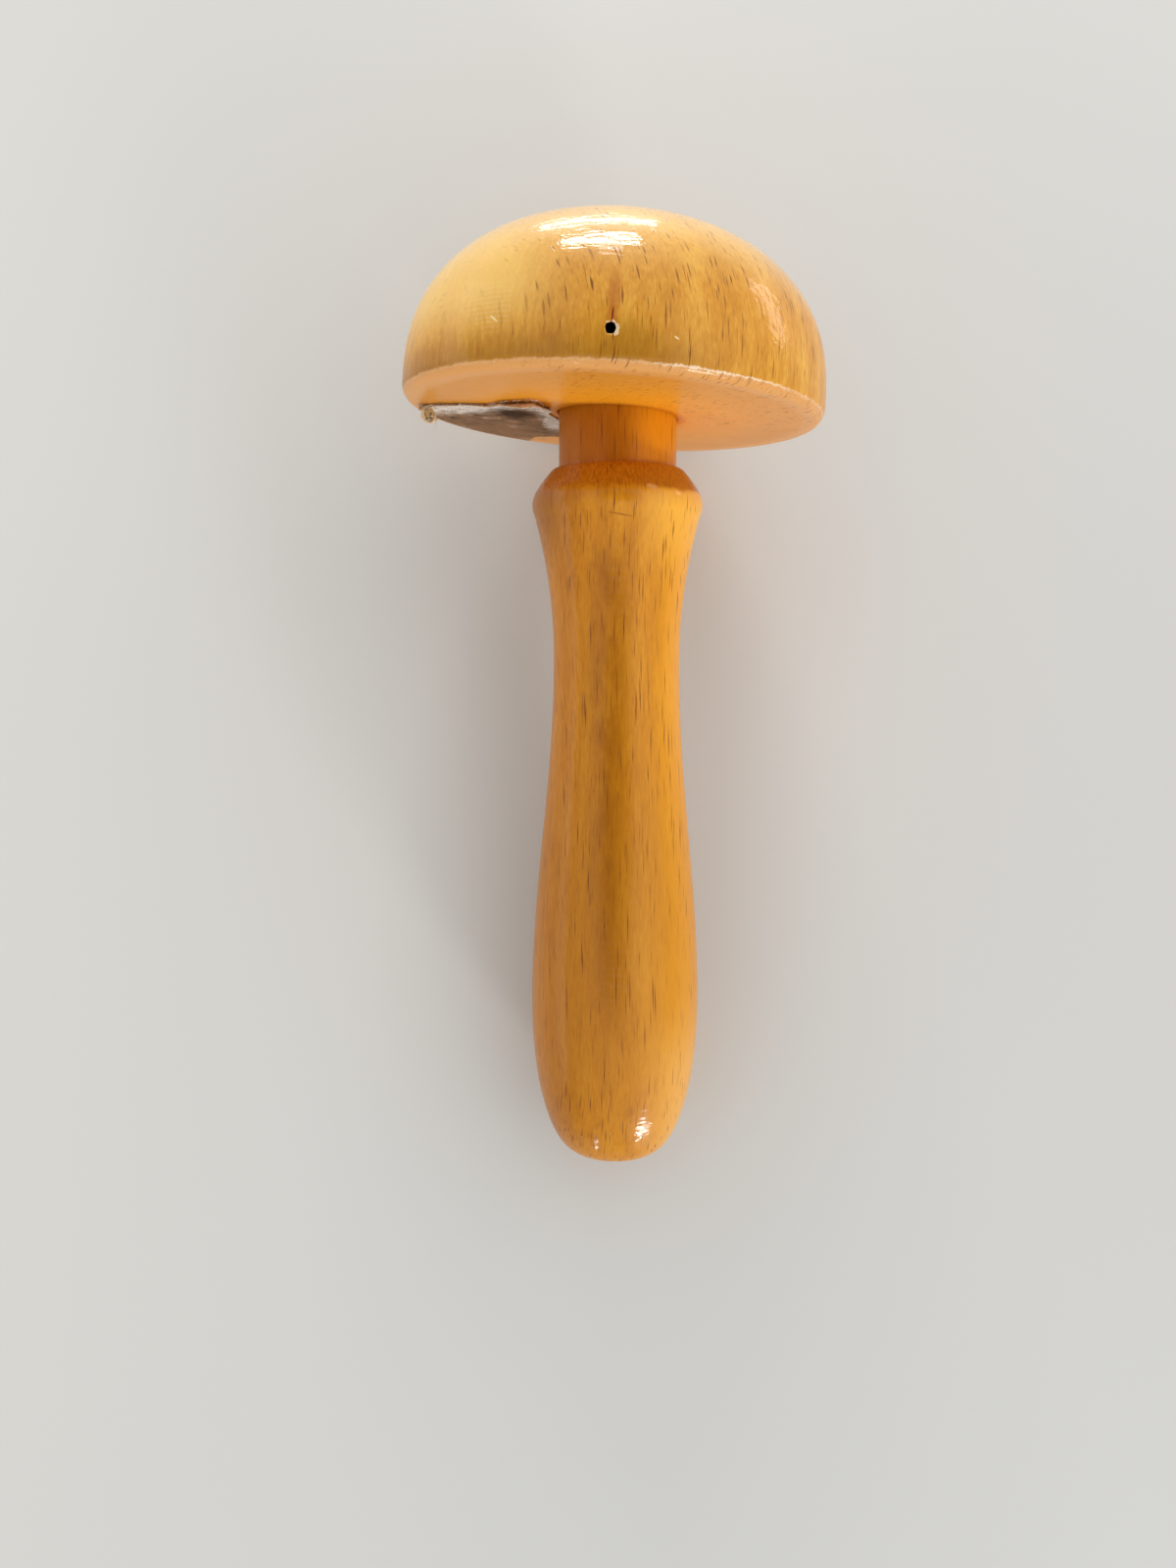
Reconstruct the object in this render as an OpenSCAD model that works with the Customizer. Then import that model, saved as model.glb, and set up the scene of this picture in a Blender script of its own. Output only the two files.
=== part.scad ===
// Darning mushroom: a turned beech head push-fitted on a turned beech handle, in millimetres.
// It lies on a table, on the rim of its head and the belly of its handle.
// +Z is up from the table, +Y runs from the handle's end to the head, and +X is to the right.
// Each piece is drawn standing on its lathe axis, and laid_down() puts it on the table.

/* [Head] */
// Diameter of the dome at its widest level
head_d = 76.8; // [62:0.2:90]
// Height from the underside to the crown
head_h = 32.9; // [28:0.2:45]
// Height of the widest level above the underside
wide_h = 2.2; // [2:0.1:6]
// Rounding of the edge between the underside and the side
rim_round = 2; // [0.8:0.1:2.2]
// How far the side leans outwards where the rounding ends, in degrees
rim_flare = 32; // [10:1:40]
// Fullness of the dome: 2 is an ellipse, and more is squarer
dome_power = 2.38; // [2:0.02:2.6]

/* [Handle] */
// Diameter of the neck, which is also the tenon inside the head
neck_d = 21.7; // [16:0.1:23]
// Length of neck that shows between the shoulder and the underside
neck_show = 9.8; // [6:0.1:20]
// Diameter of the shoulder at the foot of the neck
shoulder_d = 24.2; // [23.2:0.1:28]
// Length of the bevel between the shoulder and the collar
bevel_len = 4.3; // [2:0.1:8]
// How far the bevel swells beyond a straight cone
bevel_swell = 0.2; // [0:0.05:0.8]
// Diameter of the collar where its rounding starts and ends
collar_edge_d = 30.6; // [29:0.1:33]
// How far the rounded collar stands out beyond its edges
collar_swell = 0.5; // [0.1:0.05:1.2]
// Length of the rounded collar
collar_len = 4.2; // [2:0.1:8]
// Length from the collar down to the waist
sweep_len = 25.6; // [18:0.1:40]
// Diameter of the waist, where the fingers close
waist_d = 23.7; // [18:0.1:28]
// Length from the waist down to the belly
swell_len = 67.2; // [40:0.1:90]
// Diameter of the belly, the widest part of the grip
belly_d = 32.2; // [29:0.1:38]
// Length from the belly to the end of the handle
tail_len = 28.8; // [22:0.1:45]
// Diameter of the small flat on the end
end_flat_d = 15; // [8:0.1:18]

/* [Fit] */
// Depth of the socket in the head
socket_depth = 17; // [12:0.1:20]
// Radial clearance between the tenon and the socket
socket_clearance = 0.08; // [0.04:0.01:0.1]
// Space left between the tenon's end and the floor of the socket
floor_space = 0.3; // [0.1:0.05:1]
// Chamfer on the tenon's end
tenon_chamfer = 0.8; // [0.3:0.1:2]
// Lean of the head to the right of the handle's axis, in degrees
head_lean = 3.4; // [0:0.1:5]

/* [Wear] */
// Diameter of the worm hole low on the front of the dome
worm_hole_d = 1.9; // [1:0.1:3]
// Depth of the worm hole
worm_hole_depth = 6; // [2:0.5:10]
// Height of the worm hole above the underside
worm_hole_h = 6; // [4.5:0.1:12]
// Place of the worm hole to the right of the middle
worm_hole_x = -1.4; // [-12:0.1:12]
// Thickness of the torn paper left on the underside
label_t = 0.4; // [0.2:0.05:0.8]
// Margin between the paper and the start of the rounded edge
label_margin = 0.2; // [0.1:0.1:2]
// Gap between the paper and the mouth of the socket
label_gap = 0.6; // [0.4:0.1:2]

/* [Hidden] */
$fn = 96;

wood_colour = [0.80, 0.53, 0.22];
head_colour = [0.83, 0.57, 0.27];
paper_colour = [0.66, 0.58, 0.49];

head_r = head_d / 2;
neck_r = neck_d / 2;
shoulder_r = shoulder_d / 2;
collar_edge_r = collar_edge_d / 2;
waist_r = waist_d / 2;
belly_r = belly_d / 2;
end_flat_r = end_flat_d / 2;
socket_r = neck_r + socket_clearance;
arc_end = 90 - rim_flare;
side_h = rim_round * (1 - cos(arc_end));
side_r = head_r - tan(rim_flare) * (wide_h - side_h) / 2;
flat_r = side_r - rim_round * sin(arc_end);

// Levels on the handle's axis, counted from the flat on its end
belly_z = tail_len;
waist_z = belly_z + swell_len;
collar_z = waist_z + sweep_len;
bevel_z = collar_z + collar_len;
shoulder_z = bevel_z + bevel_len;
underside_z = shoulder_z + neck_show;
socket_floor_z = underside_z + socket_depth;
tenon_end_z = socket_floor_z - floor_space;

// Points on each stretch of an outline
arc_steps = 6;
curve_steps = 14;
dome_steps = 22;

// The handle's outline as [radius, height]: a quarter ellipse up to the belly, half a wave up to
// the waist, a parabola out to the collar, then the collar, the bevel, the shoulder and the tenon
handle_outline = concat(
    [[0, 0], [end_flat_r, 0]],
    [for (i = [1:curve_steps]) let (a = 90 * i / curve_steps)
        [end_flat_r + (belly_r - end_flat_r) * sin(a), tail_len * (1 - cos(a))]],
    [for (i = [1:curve_steps]) let (t = i / curve_steps)
        [waist_r + (belly_r - waist_r) * (1 + cos(180 * t)) / 2, belly_z + swell_len * t]],
    [for (i = [1:curve_steps]) let (t = i / curve_steps)
        [waist_r + (collar_edge_r - waist_r) * pow(t, 2), waist_z + sweep_len * t]],
    [for (i = [1:arc_steps]) let (t = i / arc_steps)
        [collar_edge_r + collar_swell * bow(t), collar_z + collar_len * t]],
    [for (i = [1:arc_steps]) let (t = i / arc_steps)
        [collar_edge_r + (shoulder_r - collar_edge_r) * t + bevel_swell * bow(t), bevel_z + bevel_len * t]],
    [[neck_r, shoulder_z], [neck_r, tenon_end_z - tenon_chamfer]],
    [[neck_r - tenon_chamfer, tenon_end_z], [0, tenon_end_z]]
);

// The head's outline as [radius, height above the underside]: the flat, the rounded edge, the side
// that leans outwards less and less up to the widest level, and a dome that is a superellipse
head_outline = concat(
    [[0, 0], [flat_r, 0]],
    [for (i = [1:arc_steps]) let (a = arc_end * i / arc_steps)
        [flat_r + rim_round * sin(a), rim_round * (1 - cos(a))]],
    [for (i = [1:arc_steps]) let (t = i / arc_steps)
        [head_r - (head_r - side_r) * pow(1 - t, 2), side_h + (wide_h - side_h) * t]],
    [for (i = [1:dome_steps]) let (a = 90 * i / dome_steps)
        [head_r * pow(max(0, cos(a)), 2 / dome_power), wide_h + (head_h - wide_h) * pow(sin(a), 2 / dome_power)]]
);

// A bow between two ends: 0 at each end and 1 in the middle
function bow(t) = 4 * t * (1 - t);

// Height on the handle's axis of a level of the leaning head
function head_level(h) = socket_floor_z + (h - socket_depth) * cos(head_lean);

// How far each piece reaches towards a table that is tilted by t to the handle's axis
function handle_reach(t) = max([for (p = handle_outline) p[0] * cos(t) - p[1] * sin(t)]);
function head_reach(t) = max([for (p = head_outline)
    p[0] * norm([cos(t), sin(head_lean) * sin(t)]) - head_level(p[1]) * sin(t)]);

// The tilt at which both reach the table alike, found by halving the range again and again
function find_tilt(low, high, turns) =
    let (middle = (low + high) / 2)
    turns == 0 ? middle
    : head_reach(middle) > handle_reach(middle) ? find_tilt(middle, high, turns - 1)
    : find_tilt(low, middle, turns - 1);

tilt = find_tilt(0, 45, 40);
axis_drop = head_reach(tilt);

// The middle of the laid-down object, from how far the head and the handle's end reach
side_reach = [for (p = head_outline) [(p[1] - socket_depth) * sin(head_lean), p[0] * cos(head_lean)]];
middle_x = (max([for (s = side_reach) s[0] + s[1]]) + min([for (s = side_reach) s[0] - s[1]])) / 2;
crown_y = max([for (p = head_outline)
    p[0] * norm([sin(tilt), sin(head_lean) * cos(tilt)]) + head_level(p[1]) * cos(tilt)]);
end_y = min([for (p = handle_outline) p[1] * cos(tilt) - p[0] * sin(tilt)]);
middle_y = (crown_y + end_y) / 2;

// The torn edge of the paper, as points on the underside chosen by hand, from the left along the
// near side to the neck, and round behind the neck to the lower left; past_rim lies outside the head
past_rim = head_r + 2;
torn_edge = [
    [-past_rim, -0.2], [-35, -0.4], [-31.4, -2.4], [-25.8, -4.2], [-22.2, -5.3], [-20, -8.4], [-16.6, -10.7],
    [-14, -11.9], [-12.3, -9.2], [-9.5, -3.2], [0, 0], [-3, 14], [-6, 23], [-10.2, 24], [-15.6, 26],
    [-17, past_rim], [-past_rim, past_rim]
];

// Children stand on the handle's axis, and are laid on the table
module laid_down() {
    translate([-middle_x, -middle_y, axis_drop])
        rotate([tilt - 90, 0, 0])
            children();
}

// Children stand on the head's axis, which crosses the handle's axis at the floor of the socket
module on_head() {
    translate([0, 0, socket_floor_z])
        rotate([0, head_lean, 0])
            translate([0, 0, -socket_depth])
                children();
}

module handle() {
    color(wood_colour)
        laid_down()
            rotate_extrude()
                polygon(handle_outline);
}

// The socket's hole, in line with the handle, open below the leaning underside
module socket_hole(radius) {
    translate([0, 0, shoulder_z])
        cylinder(h = socket_floor_z - shoulder_z, r = radius);
}

module head() {
    color(head_colour)
        laid_down()
            difference() {
                on_head()
                    rotate_extrude()
                        polygon(head_outline);
                socket_hole(socket_r);
                on_head()
                    worm_hole();
            }
}

// A beetle's round exit hole, straight in from the front of the dome
module worm_hole() {
    translate([worm_hole_x, worm_hole_depth - head_r, worm_hole_h])
        rotate([90, 0, 0])
            cylinder(h = head_r, d = worm_hole_d, $fn = 32);
}

module torn_label() {
    color(paper_colour)
        laid_down()
            difference() {
                on_head()
                    translate([0, 0, -label_t])
                        linear_extrude(label_t)
                            intersection() {
                                circle(r = flat_r - label_margin);
                                polygon(torn_edge);
                            }
                socket_hole(socket_r + label_gap);
            }
}

handle();
head();
torn_label();
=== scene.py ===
"""Darning mushroom, dressed: a varnished beech head pushed on a varnished beech handle, lying on its side.

Each piece is worked out in millimetres on its own lathe axis, with z along the axis, x to the right and y
towards the table, and is then laid down where the CAD model has it. Object coordinates are metres in the row
frame.
"""

from __future__ import annotations

import logging
import math
from dataclasses import dataclass
from enum import Enum
from typing import Any

import bpy
import numpy as np
from mathutils import Matrix, Vector

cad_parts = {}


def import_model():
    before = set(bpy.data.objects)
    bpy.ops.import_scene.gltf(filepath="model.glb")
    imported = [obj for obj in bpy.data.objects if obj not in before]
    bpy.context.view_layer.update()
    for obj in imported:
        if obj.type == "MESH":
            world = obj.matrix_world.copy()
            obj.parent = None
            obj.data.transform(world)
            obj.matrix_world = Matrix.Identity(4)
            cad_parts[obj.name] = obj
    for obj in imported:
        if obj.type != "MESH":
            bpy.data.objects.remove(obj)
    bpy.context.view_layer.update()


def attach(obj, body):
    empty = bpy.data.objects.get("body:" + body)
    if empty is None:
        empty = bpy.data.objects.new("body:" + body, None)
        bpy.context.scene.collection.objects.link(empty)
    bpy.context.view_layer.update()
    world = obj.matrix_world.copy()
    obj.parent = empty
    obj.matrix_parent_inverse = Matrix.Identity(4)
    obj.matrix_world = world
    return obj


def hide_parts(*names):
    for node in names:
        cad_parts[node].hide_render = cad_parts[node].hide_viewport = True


log = logging.getLogger("darning_mushroom")

MM = 0.001
FULL_TURN = 2 * math.pi
MM_TO_A_CM = 10
SHEET_MAP = "sheet"

Tree = bpy.types.NodeTree
Socket = bpy.types.NodeSocket
Material = bpy.types.Material
Piece = bpy.types.Object
Triple = tuple[float, float, float]


class Body(Enum):
    """The CAD bodies that pieces ride on."""

    HANDLE = "handle"
    HEAD = "head"


class Slot(Enum):
    """The material slots."""

    HANDLE = "handle_beech"
    HEAD = "head_beech"
    PAPER = "label_paper"


def linear(code: str) -> tuple[float, float, float, float]:
    """Turns an sRGB hex colour into Blender's linear colour.

    Args:
        code: The colour as "#RRGGBB".

    Returns:
        Linear red, green, blue and an alpha of 1.
    """
    srgb = np.array([int(code[i : i + 2], 16) for i in (1, 3, 5)]) / 255
    low = srgb / 12.92
    high = ((srgb + 0.055) / 1.055) ** 2.4
    red, green, blue = np.where(srgb <= 0.04045, low, high)
    return float(red), float(green), float(blue), 1.0


def add(
    tree: Tree,
    kind: str,
    links: dict[str | int, Any] | None = None,
    out: str | None = None,
    stops: list[tuple[float, str]] | None = None,
    **settings: Any,
) -> Socket | None:
    """Adds a node with its settings and links.

    Args:
        tree: The node tree that gets the node.
        kind: The node's type name without "ShaderNode".
        links: For each input, by name or number, a number, a hex colour, or another node's output.
        out: The name of the output that is wanted, or None for the first one in use.
        stops: The places and hex colours of a colour ramp.
        **settings: The node's own properties.

    Returns:
        The output, or None for a node that has none.
    """
    node = tree.nodes.new(f"ShaderNode{kind}")
    for name, value in settings.items():
        setattr(node, name, value)
    for key, value in (links or {}).items():
        if isinstance(value, Socket):
            tree.links.new(value, node.inputs[key])
        else:
            node.inputs[key].default_value = linear(value) if isinstance(value, str) else value
    if stops:
        ramp = node.color_ramp.elements
        while len(ramp) < len(stops):
            ramp.new(0.5)
        for stop, (place, code) in zip(ramp, stops):
            stop.position = place
            stop.color = linear(code)
    if out:
        return node.outputs[out]
    return next((socket for socket in node.outputs if not socket.is_unavailable), None)


@dataclass(frozen=True)
class LatheFrame:
    """Where a lathe axis lies in the row frame.

    Attributes:
        tilt: Degrees that the handle's axis rises from the table towards the head.
        lean: Degrees that this piece leans to the right of the handle's axis.
        pivot_mm: Height on the handle's axis about which the piece leans.
        base_mm: Height of the piece's own origin below the pivot, along its own axis.
        end_mm: The middle of the handle's end in the row frame.
    """

    tilt: float = 10.4183
    lean: float = 0.0
    pivot_mm: float = 0.0
    base_mm: float = 0.0
    end_mm: Triple = (0.820552, -85.0272, 12.101)

    @property
    def turn(self) -> np.ndarray:
        """The three by three matrix from the lathe's directions to the row frame's."""
        tilt, lean = math.radians(self.tilt), math.radians(self.lean)
        lay = np.array([[1, 0, 0], [0, math.sin(tilt), math.cos(tilt)], [0, -math.cos(tilt), math.sin(tilt)]])
        tip = np.array([[math.cos(lean), 0, math.sin(lean)], [0, 1, 0], [-math.sin(lean), 0, math.cos(lean)]])
        return lay @ tip

    @property
    def origin_mm(self) -> np.ndarray:
        """The lathe frame's origin in the row frame."""
        straight = LatheFrame(tilt=self.tilt).turn
        up_axis = straight @ np.array([0, 0, self.pivot_mm])
        return np.array(self.end_mm) + up_axis - self.turn @ np.array([0, 0, self.base_mm])

    def to_row(self, points: np.ndarray) -> np.ndarray:
        """Carries points from the lathe frame in millimetres to the row frame in metres.

        Args:
            points: An array whose last axis is x, y and z.

        Returns:
            The points in metres, in the same shape.
        """
        return (points @ self.turn.T + self.origin_mm) * MM

    def coordinates(self, tree: Tree) -> Socket:
        """Adds nodes that turn Object coordinates into this frame's millimetres.

        Args:
            tree: The material's node tree.

        Returns:
            The output with the coordinates.
        """
        return add(
            tree,
            "Mapping",
            {
                "Vector": add(tree, "TexCoord", out="Object"),
                "Location": Vector(self.origin_mm * MM),
                "Rotation": Matrix(self.turn.tolist()).to_euler("XYZ"),
                "Scale": (MM, MM, MM),
            },
            vector_type="TEXTURE",
        )


HANDLE_FRAME = LatheFrame()
HEAD_FRAME = LatheFrame(lean=3.4, pivot_mm=156.9, base_mm=17.0)


def bow(share: np.ndarray) -> np.ndarray:
    """A bow between two ends, 0 at each end and 1 in the middle: four times the share times the rest."""
    return 4 * share * (1 - share)


def shares(steps: int) -> np.ndarray:
    """Even shares from just above 0 up to 1, in that many steps."""
    return np.arange(1, steps + 1) / steps


def wobble(angle: np.ndarray, seed: int, waves: int = 9, falloff: float = 0.7) -> np.ndarray:
    """A smooth random curve that closes on itself.

    It is a sum of sines of 1, 2, 3 and more waves to the turn, each with a seeded phase and a height that
    falls off with its number, and its largest value is near 1.

    Args:
        angle: Where on the turn, in radians.
        seed: The seed of the random draws.
        waves: How many sines are added.
        falloff: The power of the wave's number that its height is divided by.

    Returns:
        The curve's values, in the shape of angle.
    """
    draws = np.random.default_rng(seed)
    number = np.arange(1, waves + 1)
    phase = draws.uniform(0, FULL_TURN, waves)
    height = draws.uniform(0.4, 1, waves) / number**falloff
    total = (height * np.sin(angle[..., None] * number + phase)).sum(-1)
    return total / height.sum() * 1.6


def join(*axes: np.ndarray | float) -> np.ndarray:
    """Joins coordinates into points, along a new last axis."""
    return np.stack(np.broadcast_arrays(*axes), -1)


def turned(radius: np.ndarray, height: np.ndarray, angle: np.ndarray) -> np.ndarray:
    """Carries an outline round the axis: each point is the radius turned by the angle, at its height."""
    return join(radius * np.cos(angle), radius * np.sin(angle), height[:, None])


def follow(share: np.ndarray, knots: np.ndarray) -> np.ndarray:
    """Follows straight lines between knots, which are rows of a share and its values."""
    return np.stack([np.interp(share, knots[:, 0], column) for column in knots[:, 1:].T], -1)


def numbers(points: np.ndarray, start: int = 0) -> np.ndarray:
    """Counts the vertices of a grid of points, in the grid's shape."""
    return start + np.arange(points[..., 0].size).reshape(points.shape[:-1])


def ring_faces(index: np.ndarray) -> np.ndarray:
    """Joins closed rows of vertices into quads that face outwards when the rows run down from the top."""
    ahead = np.roll(index, -1, axis=1)
    return join(index[:-1], index[1:], ahead[1:], ahead[:-1]).reshape(-1, 4)


def cap(pole: int, ring: np.ndarray, below: bool = False) -> np.ndarray:
    """Joins a ring of vertices to a pole above it, or below it, by triangles that face outwards."""
    fan = join(pole, ring, np.roll(ring, -1))
    return fan[:, [0, 2, 1]] if below else fan


def build_object(name: str, points: np.ndarray, faces: list[list[int]]) -> Piece:
    """Makes a smooth-shaded object at the origin out of points in the row frame.

    Args:
        name: The piece's name.
        points: The vertices in metres.
        faces: The faces as lists of vertex numbers.

    Returns:
        The object, linked into the scene.
    """
    mesh = bpy.data.meshes.new(name)
    mesh.from_pydata(points.reshape(-1, 3).tolist(), [], faces)
    mesh.validate()
    mesh.shade_smooth()
    piece = bpy.data.objects.new(name, mesh)
    bpy.context.scene.collection.objects.link(piece)
    return piece


def build_shell(name: str, loops: np.ndarray, sheet: np.ndarray) -> Piece:
    """Makes a piece of torn paper out of closed loops that are carried along it, with a face over each end.

    Args:
        name: The piece's name.
        loops: Points in the head's frame, one row for each loop.
        sheet: The UV map at each point: the centimetres from the torn edge, and the place along it.

    Returns:
        The piece, with its UV map.
    """
    index = numbers(loops)
    ends = [index[0][::-1].tolist(), index[-1].tolist()]
    piece = build_object(name, HEAD_FRAME.to_row(loops), ring_faces(index).tolist() + ends)
    corners = np.empty(len(piece.data.loops), np.int32)
    piece.data.loops.foreach_get("vertex_index", corners)
    layer = piece.data.uv_layers.new(name=SHEET_MAP)
    layer.data.foreach_set("uv", sheet.reshape(-1, 2)[corners].ravel().astype(np.float32))
    return piece


def dress(piece: Piece, material: Material, body: Body) -> None:
    """Gives a piece its material and its CAD body, and reports it.

    Args:
        piece: The finished piece.
        material: Its material.
        body: The CAD body that it moves with.
    """
    piece.data.materials.append(material)
    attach(piece, body.value)
    log.info("%s: %d faces, rides on %s", piece.name, len(piece.data.polygons), body.value)


def new_material(name: str) -> tuple[Material, Tree]:
    """Makes an empty node material and returns it with its tree."""
    material = bpy.data.materials.new(name)
    material.use_nodes = True
    material.node_tree.nodes.clear()
    return material, material.node_tree


def clouds(
    tree: Tree,
    place: Socket,
    size_mm: tuple[float, ...],
    detail: float,
    roughness: float = 0.5,
    shift: tuple[float, ...] = (0, 0, 0),
    out: str | None = None,
) -> Socket:
    """Adds a noise whose lumps have a real size.

    Args:
        tree: The material's node tree.
        place: The coordinates in millimetres.
        size_mm: The lumps' size along x, y and z.
        detail: How many finer layers it has.
        roughness: How strong the finer layers are.
        shift: A shift to another part of the noise.
        out: The output that is wanted, or None for the first.

    Returns:
        The noise, which is near 0.5 on average.
    """
    size = tuple(1 / size for size in size_mm)
    local = add(tree, "Mapping", {"Vector": place, "Location": shift, "Scale": size})
    look = {"Vector": local, "Scale": 1.0, "Detail": detail, "Roughness": roughness}
    return add(tree, "TexNoise", look, out)


def distance(tree: Tree, place: Socket, middle: Triple = (0, 0, 0), scale: Triple = (1, 1, 0)) -> Socket:
    """Adds the distance from a middle: the length of the scaled way from it.

    Args:
        tree: The material's node tree.
        place: The coordinates in millimetres.
        middle: The place that it is measured from.
        scale: What each millimetre along x, y and z counts for.

    Returns:
        The distance.
    """
    start = tuple(-at * size for at, size in zip(middle, scale))
    way = add(tree, "Mapping", {"Vector": place, "Location": start, "Scale": scale})
    return add(tree, "VectorMath", {0: way}, "Value", operation="LENGTH")


@dataclass(frozen=True)
class Fade:
    """A step of a value from one strength to another, whose edge a noise can fray.

    Attributes:
        value: The output that is followed.
        start: The value at which the step starts.
        end: The value at which it ends.
        low: The strength up to the start.
        high: The strength from the end on.
        noise: A noise that is added to the value, or None.
        weight: How much of the noise is added.
        straight: Whether the step is a straight ramp and not a smooth one.
    """

    value: Any
    start: float
    end: float
    low: float = 0.0
    high: float = 1.0
    noise: Any = None
    weight: float = 0.0
    straight: bool = False

    def build(self, tree: Tree) -> Socket:
        """Adds the step to a tree and gives its strength."""
        value = self.value
        if self.noise is not None:
            value = add(tree, "Math", {0: self.noise, 1: self.weight, 2: value}, operation="MULTIPLY_ADD")
        step = {"Value": value, "From Min": self.start, "From Max": self.end}
        step |= {"To Min": self.low, "To Max": self.high}
        return add(tree, "MapRange", step, interpolation_type="LINEAR" if self.straight else "SMOOTHSTEP")


def zone(tree: Tree, *factors: Any) -> Socket:
    """Adds a zone, whose strength is the product of its factors.

    Args:
        tree: The material's node tree.
        *factors: Fades, outputs and plain numbers, of which the first is a fade or an output.

    Returns:
        The strength.
    """
    built = [factor.build(tree) if isinstance(factor, Fade) else factor for factor in factors]
    total = built[0]
    for factor in built[1:]:
        total = add(tree, "Math", {0: total, 1: factor}, operation="MULTIPLY")
    return total


def stain(tree: Tree, base: Any, colour: Any, *factors: Any) -> Socket:
    """Mixes a colour into another one within a zone.

    Args:
        tree: The material's node tree.
        base: The colour outside the zone, as a hex code or an output.
        colour: The colour where the zone is strongest, likewise.
        *factors: The factors of the zone's strength.

    Returns:
        The mixed colour.
    """
    return add(tree, "Mix", {"Factor": zone(tree, *factors), "A": base, "B": colour}, data_type="RGBA")


def relief(tree: Tree, *layers: tuple[Any, float], strength: float = 1.0, unit_mm: float = 1.0) -> Socket:
    """Adds up layers of height into a bumped normal.

    Args:
        tree: The material's node tree.
        *layers: For each, an output and how many units high it is.
        strength: How much of the relief is shown.
        unit_mm: The unit of height in millimetres.

    Returns:
        The normal.
    """
    height = 0.0
    for layer, weight in layers:
        height = add(tree, "Math", {0: layer, 1: weight, 2: height}, operation="MULTIPLY_ADD")
    return add(tree, "Bump", {"Height": height, "Strength": strength, "Distance": unit_mm * MM})


@dataclass(frozen=True)
class VarnishedBeech:
    """Steamed European beech, turned on a lathe and varnished, with the varnish aged to honey.

    To the eye it has a close even grain, short dark dashes where its rays are cut across, faint growth rings,
    and a clear gloss coat that is a little wavy and carries fine marks of the lathe.

    Attributes:
        name: The material's name.
        pale: The lightest wood.
        honey: The wood's usual colour.
        deep: The darkest broad streaks.
        dash: The colour of the ray dashes.
        ray_turn: Degrees from the y axis to the side that the rays run towards.
        dash_gap_mm: Spacing of the dashes across, through and along the grain.
        small_share: Size of the small faint dashes between them, against theirs.
        fibre_mm: Size of the finest light and dark flecks across, through and along the grain.
        ring_mm: Width of a growth ring.
        pith_mm: Distance of the tree's heart from the axis, along the rays.
        ring_taper: How far the rings widen with each millimetre along the grain.
        drift_mm: How far the grain wanders along x, y and z.
        draw_mm: A shift that gives each piece its own part of the random patterns.
    """

    name: str
    pale: str = "#E29C26"
    honey: str = "#CC820C"
    deep: str = "#A35E04"
    dash: str = "#743A08"
    ray_turn: float = 10.0
    dash_gap_mm: Triple = (0.37, 3.0, 13.0)
    small_share: float = 0.6
    fibre_mm: Triple = (0.33, 0.7, 2.6)
    ring_mm: float = 1.9
    pith_mm: float = 48.0
    ring_taper: float = 0.012
    drift_mm: Triple = (3.0, 3.0, 0.0)
    draw_mm: float = 0.0

    def build(self, frame: LatheFrame) -> tuple[Material, Tree, dict[str, Any]]:
        """Builds the wood's colour, and leaves it open for the piece's own marks.

        The darkness is a weighted sum of broad streaks, fibres, patches, growth rings and the wood beside the
        rays. The rays fade where the surface cuts them face on, by the angle between the way outwards and the
        rays.

        Args:
            frame: The lathe frame that the grain runs along.

        Returns:
            The material, its tree, and the outputs that a piece's own marks need.
        """
        material, tree = new_material(self.name)
        place = frame.coordinates(tree)
        shift = (self.draw_mm, 0, 0)
        turn = math.radians(self.ray_turn)
        drift = clouds(tree, place, (14, 14, 60), 2.0, shift=shift, out="Color")
        drift = add(tree, "VectorMath", {0: drift, 1: (0.5, 0.5, 0.5)}, operation="SUBTRACT")
        bent = add(tree, "VectorMath", {0: drift, 1: self.drift_mm, 2: place}, operation="MULTIPLY_ADD")
        grain = add(tree, "Mapping", {"Vector": bent, "Location": shift, "Rotation": (0, 0, -turn)})
        outwards = add(tree, "VectorMath", {0: place, 1: (1, 1, 0)}, operation="MULTIPLY")
        outwards = add(tree, "VectorMath", {0: outwards}, operation="NORMALIZE")
        face_on = {0: outwards, 1: (math.cos(turn), math.sin(turn), 0.0)}
        face_on = add(tree, "VectorMath", face_on, "Value", operation="DOT_PRODUCT")
        edge_on = Fade(add(tree, "Math", {0: face_on}, operation="ABSOLUTE"), 0.97, 0.76, 0.12, 1.0)
        dashes, halo = self.ray_dashes(tree, grain, self.dash_gap_mm)
        small, _ = self.ray_dashes(tree, grain, tuple(self.small_share * gap for gap in self.dash_gap_mm))
        fibres = clouds(tree, grain, self.fibre_mm, 4.0, 0.6)
        streaks = clouds(tree, grain, (5, 9, 80), 3.0, shift=(3, 0, 0))
        mottle = clouds(tree, place, (8, 8, 14), 4.0, 0.6, shift)
        rings = self.growth_rings(tree, grain)
        tone = -0.16
        for part, weight in ((streaks, 0.75), (fibres, 0.8), (mottle, 0.55), (rings, 0.07), (halo, 0.14)):
            tone = add(tree, "Math", {0: part, 1: weight, 2: tone}, operation="MULTIPLY_ADD")
        tone = add(tree, "Math", {0: tone, 1: 0.46}, operation="SUBTRACT")
        stops = [(0.08, self.pale), (0.5, self.honey), (0.95, self.deep)]
        parts = {axis.lower(): add(tree, "SeparateXYZ", {"Vector": place}, axis) for axis in "XYZ"}
        parts |= {"place": place, "fibres": fibres, "mottle": mottle}
        parts |= {"dashes": zone(tree, dashes, edge_on), "small": zone(tree, small, edge_on)}
        parts["colour"] = add(tree, "ValToRGB", {"Fac": tone}, stops=stops)
        return material, tree, parts

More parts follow.
